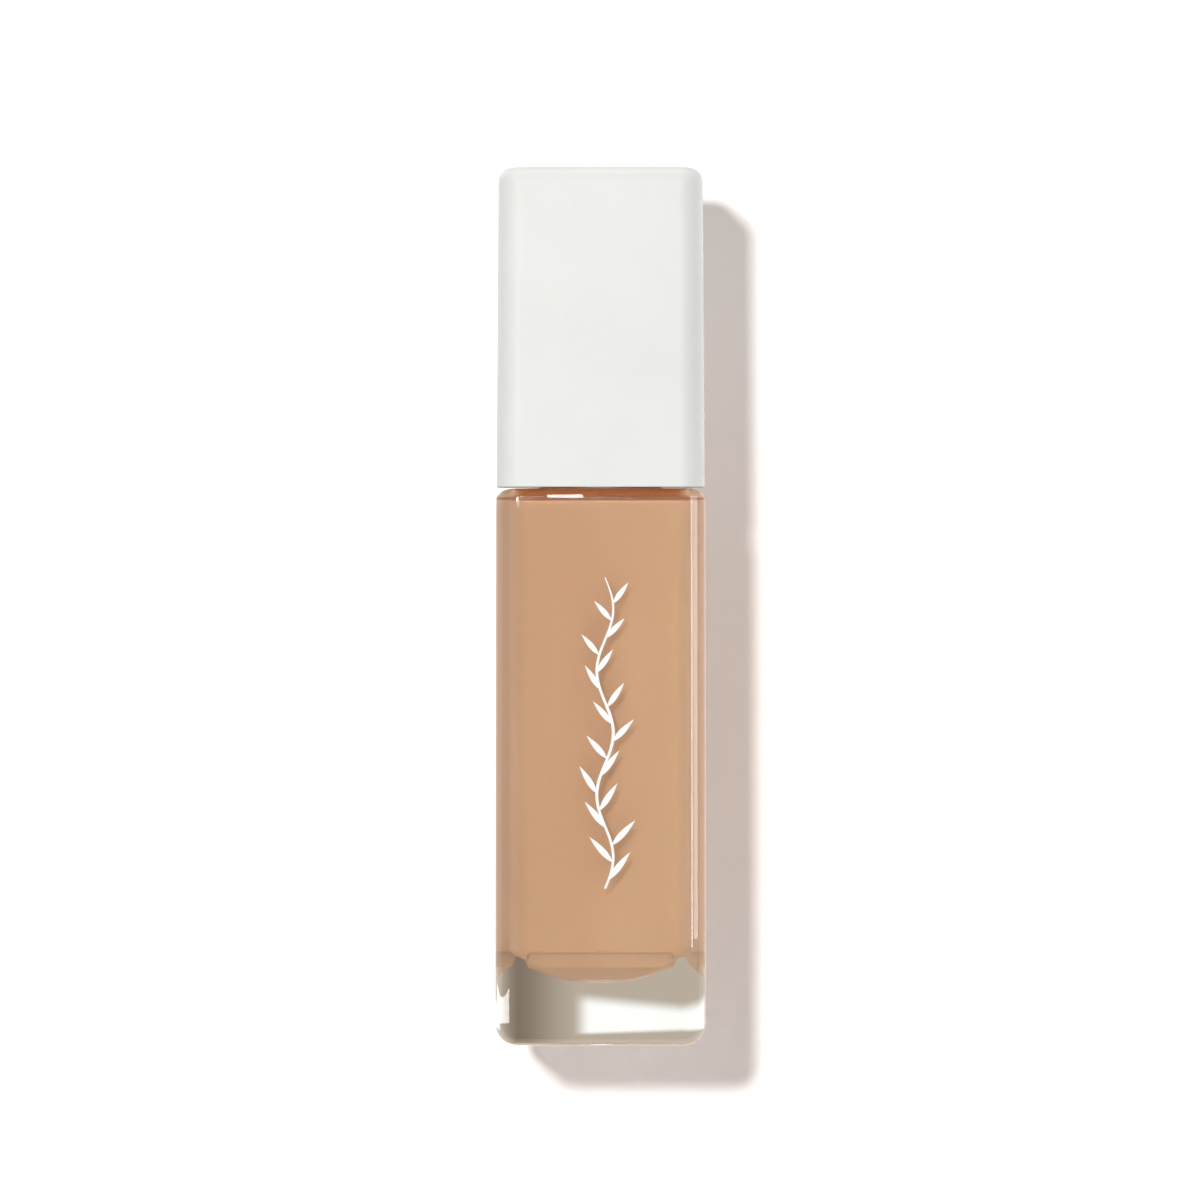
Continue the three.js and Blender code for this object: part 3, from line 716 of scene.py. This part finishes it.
def flat_leaf(length, width):
    bm = bmesh.new()
    bmesh.ops.create_circle(bm, cap_ends=True, radius=1, segments=36)
    for vert in bm.verts:
        along, across = vert.co.y, vert.co.x
        vert.co.y = (along + 1) / 2 * length
        vert.co.x = across * width / 2 * (1 - 0.35 * along) * math.sqrt(max(0, 1 - along ** 2))
    return bm


def raised(bm, thickness):
    """Gives flat shapes the thickness of a layer of ink."""
    grown = bmesh.ops.extrude_face_region(bm, geom=list(bm.faces))["geom"]
    tops = [g for g in grown if isinstance(g, bmesh.types.BMVert)]
    bmesh.ops.translate(bm, vec=(0, 0, thickness), verts=tops)
    return tidied(bm)


def sprig():
    low, height = print_low.z, print_high.z - print_low.z
    leaves = []
    for leaf in range(LEAVES):
        share = (leaf + 0.5) / (LEAVES + 1)
        side = 1 if leaf % 2 == 0 else -1
        bm = flat_leaf(LEAF_LENGTH * (1 - 0.3 * share), LEAF_WIDTH * (1 - 0.2 * share))
        lean = Matrix.Rotation(-side * (0.66 + 0.1 * math.sin(leaf)), 3, "Z")
        bmesh.ops.rotate(bm, cent=(0, 0, 0), matrix=lean, verts=bm.verts)
        bmesh.ops.translate(bm, vec=(PRINT_CENTRE + sway(share), low + share * height, 0), verts=bm.verts)
        leaves.append(raised(bm, INK))
    made = combined(raised(flat_stem(low, height), INK), merged(leaves), "UNION")
    bmesh.ops.rotate(made, cent=(0, 0, 0), matrix=Matrix.Rotation(math.pi / 2, 3, "X"), verts=made.verts)
    bmesh.ops.translate(made, vec=(0, print_high.y, 0), verts=made.verts)
    return made


placed("printed_sprig", sprig(), print_ink, "front_print")

# %% [markdown]
# ## The pump
#
# Under the overcap stands a treatment pump. Its housing hangs in the neck, with a ball valve and a dip
# tube below. A hollow stem carries a sliding piston, a spring pushes the stem up, and a turret ring keeps
# it in. All of them are turned parts, so each is one outline carried round the axis. Each outline that
# closes on itself starts and ends at a seam height on a straight wall. The moulded edges get small radii,
# because a sharp edge can't be moulded and catches no light.

# %% Housing and dip tube
BARREL = 4.3
BARREL_BORE = 3.5
BARREL_SEAM = 80
TUBE_BORE = 1.0
flange_low = housing_high.z - 1.2
ledge = span("return_spring")[0].z - 0.05
ball_low, ball_high = span("valve_ball")


def housing():
    seat = ledge - 0.7 - 2 * 1.2 - 1 + 0.6
    return turned([
        (BARREL, BARREL_SEAM, 0), (BARREL, flange_low, 0.3), (housing_high.x, flange_low, 0.15),
        (housing_high.x, housing_high.z, 0.2), (BARREL_BORE, housing_high.z, 0.2),
        (BARREL_BORE, ledge, 0.15), (1.0, ledge, 0.1), (1.0, ledge - 0.7, 0.1), (1.5, ledge - 0.7, 0.1),
        (1.5, seat, 0), (0.7, seat - 0.8, 0), (0.7, seat - 1.4, 0.05), (1.6, seat - 1.4, 0.05),
        (1.6, housing_low.z, 0.2), (2.6, housing_low.z, 0.3), (2.6, seat + 1, 0.6),
        (BARREL, ledge - 0.7, 0.8), (BARREL, BARREL_SEAM, 0)])


placed("pump_barrel", housing(), natural_plastic, "pump_housing")
straw = turned(ring_outline(TUBE_BORE, tube_high.x, tube_low.z, tube_high.z, 0.12))
placed("dip_tube_clear", straw, natural_plastic, "dip_tube")

# %% Gasket and base label
GASKET_BORE = 4.55
gasket_low, gasket_high = span("neck_gasket")
label_low, label_high = span("base_label")
washer = turned(ring_outline(GASKET_BORE, gasket_high.x, gasket_low.z, gasket_high.z, 0.15))
placed("neck_gasket_ring", washer, gasket_foam, "neck_gasket")
placed("base_sticker", rod(label_high.x, label_low.z, label_high.z, 0.03), label_paper, "base_label")


# %% Ball valve and spring
def ball():
    radius, middle = (ball_high.z - ball_low.z) / 2, (ball_high.z + ball_low.z) / 2
    path = [(0, middle - radius, 0), (radius, middle - radius, radius), (radius, middle + radius, radius),
            (0, middle + radius, 0)]
    return turned(path, 64, 14)


spring_low, spring_high = span("return_spring")
WIRE = 0.5
COILS = 8


def spring():
    """A wire whose first and last coils lie close, made by three spins up a helix."""
    closed = WIRE * 1.1
    opened = (spring_high.z - spring_low.z - WIRE - 2 * closed) / (COILS - 2)
    bm = bmesh.new()
    made = bmesh.ops.create_circle(bm, cap_ends=True, radius=WIRE / 2, segments=12)["verts"]
    bmesh.ops.rotate(bm, cent=(0, 0, 0), matrix=Matrix.Rotation(math.pi / 2, 3, "X"), verts=made)
    bmesh.ops.translate(bm, vec=(2.3, 0, spring_low.z + WIRE / 2), verts=made)
    start = end = next(iter(bm.faces))
    for turns, rise in ((1, closed), (COILS - 2, opened), (1, closed)):
        last = bmesh.ops.spin(bm, geom=[end], cent=(0, 0, 0), axis=(0, 0, 1), dvec=(0, 0, rise / 36),
                              angle=2 * math.pi * turns, steps=36 * turns)["geom_last"]
        if end is not start:
            bmesh.ops.delete(bm, geom=[end], context="FACES_ONLY")
        end = next(g for g in last if isinstance(g, bmesh.types.BMFace))
    return tidied(bm)


placed("check_valve_ball", ball(), stainless, "valve_ball")
coil = placed("pump_return_spring", spring(), stainless, "return_spring")
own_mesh(coil)

# %% Stem, plug and piston
stem_low, stem_high = span("pump_stem")
plug_low, plug_high = span("stem_plug")
piston_low, piston_high = span("piston_seal")
catch_high = span("turret_ring")[0].z - 0.1
STEM_SEAM = 95


def stem():
    tube = turned([
        (1.15, STEM_SEAM, 0), (1.15, stem_low.z, 0.1), (1.75, stem_low.z, 0.1), (1.75, catch_high - 0.8, 0.1),
        (2.6, catch_high - 0.8, 0.15), (2.6, catch_high, 0.15), (1.75, catch_high, 0.15),
        (1.75, stem_high.z, 0.25), (1.15, stem_high.z, 0.15), (1.15, STEM_SEAM, 0)], 64)
    return combined(tube, block(4, 0.4, stem_low.z - 0.5, stem_low.z + 0.5, 0.1, 2), "DIFFERENCE")


def plug():
    flange_top = piston_low.z - 0.1
    return turned([
        (0, plug_low.z, 0), (1.5, plug_low.z, 0.35), (1.6, plug_low.z + 0.5, 0.3),
        (1.6, flange_top - 0.8, 0.1), (2.7, flange_top - 0.8, 0.12), (2.7, flange_top, 0.12),
        (0.95, flange_top, 0.1), (0.95, plug_high.z, 0.2), (0, plug_high.z, 0)], 64)


def piston():
    low, high, lip = piston_low.z, piston_high.z, piston_high.x
    middle = (low + high) / 2
    return turned([
        (1.95, middle, 0), (1.95, low, 0.1), (lip - 0.25, low, 0.05), (lip, low + 0.25, 0.05),
        (lip, low + 0.6, 0.05), (lip - 0.6, low + 1.1, 0.25), (lip - 0.6, high - 1.1, 0.25),
        (lip, high - 0.6, 0.05), (lip, high - 0.25, 0.05), (lip - 0.25, high, 0.05), (1.95, high, 0.1),
        (1.95, middle, 0)], 64)


placed("pump_stem_tube", stem(), gloss_white, "pump_stem")
placed("stem_plug_pin", plug(), inner_white, "stem_plug")
placed("piston_lip_seal", piston(), seal_plastic, "piston_seal")

# %% Turret
turret_low, turret_high = span("turret_ring")
TURRET_SEAM = 90


def turret():
    flange, sleeve = housing_high.z + 0.05, turret_low.z
    return turned([
        (2.0, TURRET_SEAM, 0), (2.0, sleeve, 0.15), (3.4, sleeve, 0.2), (3.4, flange, 0.1),
        (turret_high.x, flange, 0.12), (turret_high.x, flange + 0.8, 0.2), (4.9, flange + 0.8, 0.3),
        (4.9, turret_high.z, 0.4), (2.0, turret_high.z, 0.2), (2.0, TURRET_SEAM, 0)])


placed("turret_guide", turret(), gloss_white, "turret_ring")

# %% [markdown]
# ## The collar
#
# The closure screws down over the neck's thread and presses the pump's flange onto the foam gasket. A
# smooth sleeve hides it. The closure has the matching thread inside, and a small bead that carries the
# pump when the collar is unscrewed.

# %% Closure and sleeve
closure_low, closure_high = span("collar_closure")
sleeve_low, sleeve_high = span("collar_sleeve")
HOLE = 5.3
COLLAR_SEAM = 85


def closure():
    low, high, radius = closure_low.z, closure_high.z, closure_high.x
    bore = radius - 1.2
    shell = turned([
        (radius, COLLAR_SEAM, 0), (radius, high, 0.35), (HOLE, high, 0.15), (HOLE, high - 1.2, 0.15),
        (bore, high - 1.2, 0.25), (bore, low, 0.2), (radius, low, 0.2), (radius, COLLAR_SEAM, 0)])
    bead_top = flange_low - 0.1
    bead = turned([
        (bore + 0.2, bead_top - 0.35, 0), (bore + 0.2, bead_top - 0.75, 0), (8.4, bead_top - 0.3, 0.1),
        (8.4, bead_top, 0.1), (bore + 0.2, bead_top, 0), (bore + 0.2, bead_top - 0.35, 0)])
    ridge = screw_ridge(bore + 0.2, NECK_RADIUS + 0.25, THREAD_LOW + THREAD_PITCH / 2, 1)
    return combined(combined(shell, bead, "UNION"), ridge, "UNION")


def sleeve():
    low, high, radius = sleeve_low.z, sleeve_high.z, sleeve_high.x
    bore = radius - 0.68
    return turned([
        (radius, COLLAR_SEAM, 0), (radius, high, 0.6), (HOLE, high, 0.18), (HOLE, high - 0.6, 0.1),
        (bore, high - 0.6, 0.3), (bore, low, 0.15), (radius, low, 0.2), (radius, COLLAR_SEAM, 0)])


placed("collar_screw_closure", closure(), inner_white, "collar_closure")
placed("collar_outer_sleeve", sleeve(), gloss_white, "collar_sleeve")

# %% [markdown]
# ## The actuator
#
# The button is a thin cup with a dished top for the fingertip. Inside it, the core has the socket for the
# stem, the channel and the spout, and a nozzle tip is pressed into the spout's end. The holes are cut
# with plain round cutters, as core pins do it in a mould.

# %% Actuator
button_low, button_high = span("actuator_cap")
core_low, core_high = span("actuator_core")
nozzle_low, nozzle_high = span("nozzle_tip")
SPOUT = 2.3
spout_axis = (nozzle_low.z + nozzle_high.z) / 2


def lying(bm):
    """Turns an upright piece so that its top points to the front, along the spout's axis."""
    bmesh.ops.rotate(bm, cent=(0, 0, 0), matrix=Matrix.Rotation(math.pi / 2, 3, "X"), verts=bm.verts)
    bmesh.ops.translate(bm, vec=(0, 0, spout_axis), verts=bm.verts)
    return bm


def button():
    low, high, radius = button_low.z, button_high.z, button_high.x
    cup = turned([
        (0, high - 1.8, 0), (radius - 1, high - 1.8, 0.3), (radius - 1, low, 0.2), (radius, low, 0.25),
        (radius, high, 0.95), (radius - 1.5, high - 0.02, 0.6), (4.4, high - 0.4, 4),
        (2.2, high - 0.57, 4), (0, high - 0.6, 0)])
    return combined(cup, lying(rod(SPOUT + 0.1, -0.5, radius + 1)), "DIFFERENCE")


def core():
    low, high = core_low.z, core_high.z
    made = combined(rod(3.1, low, high, 0.15), rod(core_high.x, high - 1, high, 0.15), "UNION")
    made = combined(made, lying(rod(SPOUT, 0, -core_low.y, 0.35)), "UNION")
    made = combined(made, rod(2.0, low - 1, stem_high.z + 0.1), "DIFFERENCE")
    made = combined(made, rod(0.8, stem_high.z, spout_axis + 0.5), "DIFFERENCE")
    made = combined(made, lying(rod(0.9, -0.9, -core_low.y + 1)), "DIFFERENCE")
    return combined(made, lying(rod(1.7, -core_low.y - 1.8, -core_low.y + 1)), "DIFFERENCE")


def nozzle():
    front, back = -nozzle_low.y, -nozzle_high.y
    return lying(turned([
        (0.6, back + 1, 0), (0.6, back, 0.1), (1.6, back, 0.1), (1.6, front, 0.3), (0.6, front, 0.2),
        (0.6, back + 1, 0)], 64))


placed("actuator_button", button(), gloss_white, "actuator_cap")
placed("actuator_spout_core", core(), gloss_white, "actuator_core")
placed("nozzle_insert", nozzle(), inner_white, "nozzle_tip")

# %% [markdown]
# ## The stage
#
# The bottle is seen from its front against a plain white surface a little behind it, which takes its
# shadow. The surface can't be seen from behind, so that a view from the back shows the object too.
#
# Lamps can be linked: one lights only the surface and makes the shadow, and the others light only the
# object, with the glass left out of what casts their shadows, because real glass lets them through. The
# glass and the liquid have lamps of their own, and the print is lit with the plastics. Five strips light
# nothing, and are seen only as reflections in the glass. A small glowing card behind the thick base has
# painted light and shade on it: taupe painted shade on the left and white painted light low on the right,
# which stand for the light that the glass gathers there. Only rays that were bent or mirrored meet it.

# %% Surface and card
BACKDROP_GAP = 25


def unseen(made, *kinds):
    for kind in kinds:
        setattr(made, f"visible_{kind}", False)


def upright_sheet(name, half_width, low, high, y, material):
    bm = bmesh.new()
    bmesh.ops.create_grid(bm, x_segments=1, y_segments=1, size=1)
    bmesh.ops.scale(bm, vec=(half_width, (high - low) / 2, 1), verts=bm.verts)
    bmesh.ops.rotate(bm, cent=(0, 0, 0), matrix=Matrix.Rotation(math.pi / 2, 3, "X"), verts=bm.verts)
    bmesh.ops.translate(bm, vec=(0, y, (low + high) / 2), verts=bm.verts)
    bmesh.ops.scale(bm, vec=(MM, MM, MM), verts=bm.verts)
    mesh = bpy.data.meshes.new(name)
    bm.to_mesh(mesh)
    bm.free()
    mesh.materials.append(material)
    made = bpy.data.objects.new(name, mesh)
    bpy.context.collection.objects.link(made)
    return made


def one_sided(material, shader):
    """Makes a stage surface clear when it is met from behind."""
    nodes, links = material.node_tree.nodes, material.node_tree.links
    geometry = nodes.new("ShaderNodeNewGeometry")
    clear = nodes.new("ShaderNodeBsdfTransparent")
    mix = nodes.new("ShaderNodeMixShader")
    links.new(geometry.outputs["Backfacing"], mix.inputs["Fac"])
    links.new(shader.outputs[0], mix.inputs[1])
    links.new(clear.outputs["BSDF"], mix.inputs[2])
    links.new(mix.outputs["Shader"], nodes["Material Output"].inputs["Surface"])


surface_white, surface_shader = plain_finish("surface_white", (0.9, 0.9, 0.9, 1), 0.9,
                                             Specular_IOR_Level=0.0, Emission_Strength=1.0)
# The surface glows faintly warm: painted light that lifts and warms the shadow on it.
surface_shader.inputs["Emission Color"].default_value = (0.195, 0.145, 0.12, 1)
one_sided(surface_white, surface_shader)
backdrop = upright_sheet("backdrop", 3000, -3000, 3000, glass_high.y + BACKDROP_GAP, surface_white)
unseen(backdrop, "diffuse", "shadow")


def caustic_light_and_shade_card():
    """Painted shade in taupe on the left, and painted light in white low on the right, with a soft sloping
    border.
    """
    material = bpy.data.materials.new("caustic_light_and_shade_card")
    material.use_nodes = True
    nodes, links = material.node_tree.nodes, material.node_tree.links
    nodes.remove(nodes["Principled BSDF"])
    place = nodes.new("ShaderNodeTexCoord")
    axes = nodes.new("ShaderNodeSeparateXYZ")
    links.new(place.outputs["Object"], axes.inputs["Vector"])

    def ramped(source, start, end):
        spread = nodes.new("ShaderNodeMapRange")
        spread.interpolation_type = "SMOOTHSTEP"
        spread.inputs["From Min"].default_value = start * MM
        spread.inputs["From Max"].default_value = end * MM
        links.new(source, spread.inputs["Value"])
        return spread.outputs["Result"]

    def combine(kind, first, second):
        step = nodes.new("ShaderNodeMath")
        step.operation = kind
        for socket, value in zip(step.inputs, (first, second)):
            if isinstance(value, float):
                socket.default_value = value
            else:
                links.new(value, socket)
        return step.outputs["Value"]

    def blend(factor, first, second):
        mix = nodes.new("ShaderNodeMix")
        mix.data_type = "RGBA"
        links.new(factor, mix.inputs["Factor"])
        for socket, value in ((mix.inputs["A"], first), (mix.inputs["B"], second)):
            if isinstance(value, tuple):
                socket.default_value = value
            else:
                links.new(value, socket)
        return mix.outputs["Result"]

    sloped = combine("ADD", axes.outputs["Z"], combine("MULTIPLY", axes.outputs["X"], 0.1))
    right = ramped(axes.outputs["X"], -3.9, -1.2)
    below = ramped(sloped, 6.7, 4.7)
    # Painted shade: taupe, darker towards the left, where the base lies in shade.
    painted_shade_taupe = blend(ramped(axes.outputs["X"], -12, -2), linear(117, 101, 86), linear(178, 165, 149))
    # Painted light: white low on the right, for the light that the glass gathers there.
    painted_light_and_shade = blend(combine("MULTIPLY", right, below), painted_shade_taupe, linear(250, 250, 247))
    light = nodes.new("ShaderNodeEmission")
    light.inputs["Strength"].default_value = 1.12
    links.new(painted_light_and_shade, light.inputs["Color"])
    links.new(light.outputs["Emission"], nodes["Material Output"].inputs["Surface"])
    one_sided(material, light)
    return material


# A glowing card with painted light and shade, just behind the base.
card = upright_sheet("base_light_and_shade_card", 14.4, -2, 14, glass_high.y + 0.6, caustic_light_and_shade_card())
unseen(card, "camera", "diffuse", "shadow")


# %% Surroundings
def surroundings(level):
    """White to look at, and dimmer as a source of light, so that lamps can shape the object."""
    world = bpy.data.worlds.new("surround")
    world.use_nodes = True
    nodes, links = world.node_tree.nodes, world.node_tree.links
    seen = nodes["Background"]
    seen.inputs["Color"].default_value = (1, 1, 1, 1)
    lighting = nodes.new("ShaderNodeBackground")
    lighting.inputs["Color"].default_value = (level, level, level, 1)
    path = nodes.new("ShaderNodeLightPath")
    mix = nodes.new("ShaderNodeMixShader")
    links.new(path.outputs["Is Camera Ray"], mix.inputs["Fac"])
    links.new(lighting.outputs["Background"], mix.inputs[1])
    links.new(seen.outputs["Background"], mix.inputs[2])
    links.new(mix.outputs["Shader"], nodes["World Output"].inputs["Surface"])
    bpy.context.scene.world = world


surroundings(0.35)


# %% Lamps
def group(name, members):
    made = bpy.data.collections.new(name)
    for member in members:
        made.objects.link(member)
    return made


glassware = [bottle, liquid]
made_pieces = [piece for piece in bpy.context.scene.objects if piece.type == "MESH" and body_of(piece)
               and not piece.get("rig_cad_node")]
plastics = [piece for piece in made_pieces if piece not in glassware]
surface_only = group("surface_only", [backdrop])
bottle_only = group("bottle_only", [bottle])
liquid_only = group("liquid_only", [liquid])
glass_only = group("glass_only", glassware)
plastic_only = group("plastic_only", plastics)
all_but_glass = group("all_but_glass", [piece for piece in made_pieces if piece is not bottle])


def lamp(name, place, aim, level, size, lit, tall=None, blockers=all_but_glass):
    """A soft lamp that adds a level of light where it is aimed. Places and sizes are in millimetres."""
    data = bpy.data.lights.new(name, "AREA")
    data.shape = "RECTANGLE" if tall else "DISK"
    data.size = size * MM
    data.size_y = (tall or size) * MM
    way = Vector(aim) - Vector(place)
    data.energy = level * (math.pi * way.length * MM) ** 2
    made = bpy.data.objects.new(name, data)
    made.location = Vector(place) * MM
    made.rotation_mode = "QUATERNION"
    made.rotation_quaternion = way.to_track_quat("-Z", "Y")
    bpy.context.collection.objects.link(made)
    unseen(made, "camera", "transmission")
    made.light_linking.receiver_collection = lit
    made.light_linking.blocker_collection = blockers
    return made


def strip(*settings, **options):
    """A lamp that is only seen as a reflection."""
    unseen(lamp(*settings, **options), "diffuse")


middle = (0, 0, shell_high.z / 2)
lamp("surface_key", (-595, -4000, 600), middle, 1.0, 300, surface_only, blockers=None)
lamp("plastic_key", (-130, -650, 120), middle, 0.61, 160, plastic_only)
lamp("overhead", (0, 60, 700), middle, 0.27, 300, plastic_only)
lamp("right_edge", (330, 130, 70), middle, 0.25, 160, plastic_only, 320)
lamp("glass_key", (-150, -640, 200), middle, 0.21, 120, glass_only)
unseen(lamp("low_fill", (0, -420, -330), (0, 0, 10), 0.34, 400, glass_only), "glossy")
lamp("shoulder_glow", (0, -60, 300), (0, -10, 74), 0.5, 80, liquid_only, blockers=liquid_only)
strip("left_line", (-70, -597, 370), (-12, -14, 60), 0.31, 100, bottle_only, 640)
strip("right_line", (306, -257, 170), (12, -12, 60), 0.4, 60, bottle_only, 340)
strip("right_panel", (330, -120, 170), (12, -12, 60), 0.75, 160, bottle_only, 340)
strip("base_left", (-300, -15, -1.6), (0, -15, -1.6), 0.12, 500, bottle_only, 5.5)
strip("sparkle", (-5, -75, 150), (-5, -14, 74), 0.5, 5, bottle_only, 150)
lamp("back_left", (-330, 420, 260), middle, 0.25, 400, all_but_glass)
lamp("back_right", (360, 400, 120), middle, 0.22, 400, all_but_glass)

# %% Camera
FRAME_WIDTH = 160.1
DISTANCE = 2600
VIEW_HEIGHT = 59.5
VIEW_SIDE = -0.07
SENSOR = 36

camera_data = bpy.data.cameras.new("camera")
camera_data.sensor_width = SENSOR
camera_data.lens = SENSOR * DISTANCE / FRAME_WIDTH
camera = bpy.data.objects.new("camera", camera_data)
camera.location = (VIEW_SIDE * MM, (glass_low.y - DISTANCE) * MM, VIEW_HEIGHT * MM)
camera.rotation_euler = (math.pi / 2, 0, 0)
bpy.context.collection.objects.link(camera)
bpy.context.scene.camera = camera
bpy.context.scene.view_settings.view_transform = "Standard"
print("lens:", round(camera_data.lens, 1), "mm")
